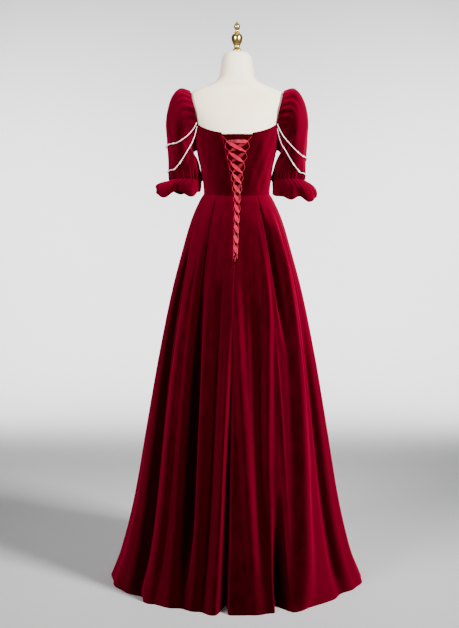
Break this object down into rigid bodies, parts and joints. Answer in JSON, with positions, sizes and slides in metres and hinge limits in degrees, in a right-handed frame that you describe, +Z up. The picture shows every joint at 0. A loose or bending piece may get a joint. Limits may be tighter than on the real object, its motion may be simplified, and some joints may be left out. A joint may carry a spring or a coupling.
{
  "type": "a-line evening gown on a limbless dress form and stand",
  "caption": "Floor-length A-line velvet gown with a laced back, puff sleeves, ruffled cuffs and pearl swags, on a dress form with a finial, pole and base.",
  "frame": {"origin": "on the floor at the middle of the stand's base, under the pole", "axes": "+Z up along the pole; the gown's laced back faces -Y and its front +Y; +X is to the right of someone who looks at the back"},
  "size_m": [0.7927, 0.8103, 1.765],
  "materials": {
    "velvet": "dark crimson silk-like velvet",
    "satin": "coral red satin",
    "pearl": "off-white imitation pearl",
    "form_cover": "smooth cream jersey cover",
    "finial": "polished gilt",
    "stand": "gold paint"
  },
  "bodies": {
    "root": {"form_torso": "form_cover", "form_finial": "finial", "form_pole": "stand", "form_base": "stand", "bodice_front": "velvet", "bodice_back_left": "velvet", "bodice_back_right": "velvet", "modesty_panel": "velvet", "skirt_front": "velvet", "skirt_back_left": "velvet", "skirt_back_right": "velvet", "sleeve_left": "velvet", "sleeve_right": "velvet", "cuff_ruffle_left": "velvet", "cuff_ruffle_right": "velvet", "loop_cord_left": "satin", "loop_cord_right": "satin", "lace": "satin", "pearls_left_upper": "pearl", "pearls_left_lower": "pearl", "pearls_right_upper": "pearl", "pearls_right_lower": "pearl"}
  },
  "joints": []
}
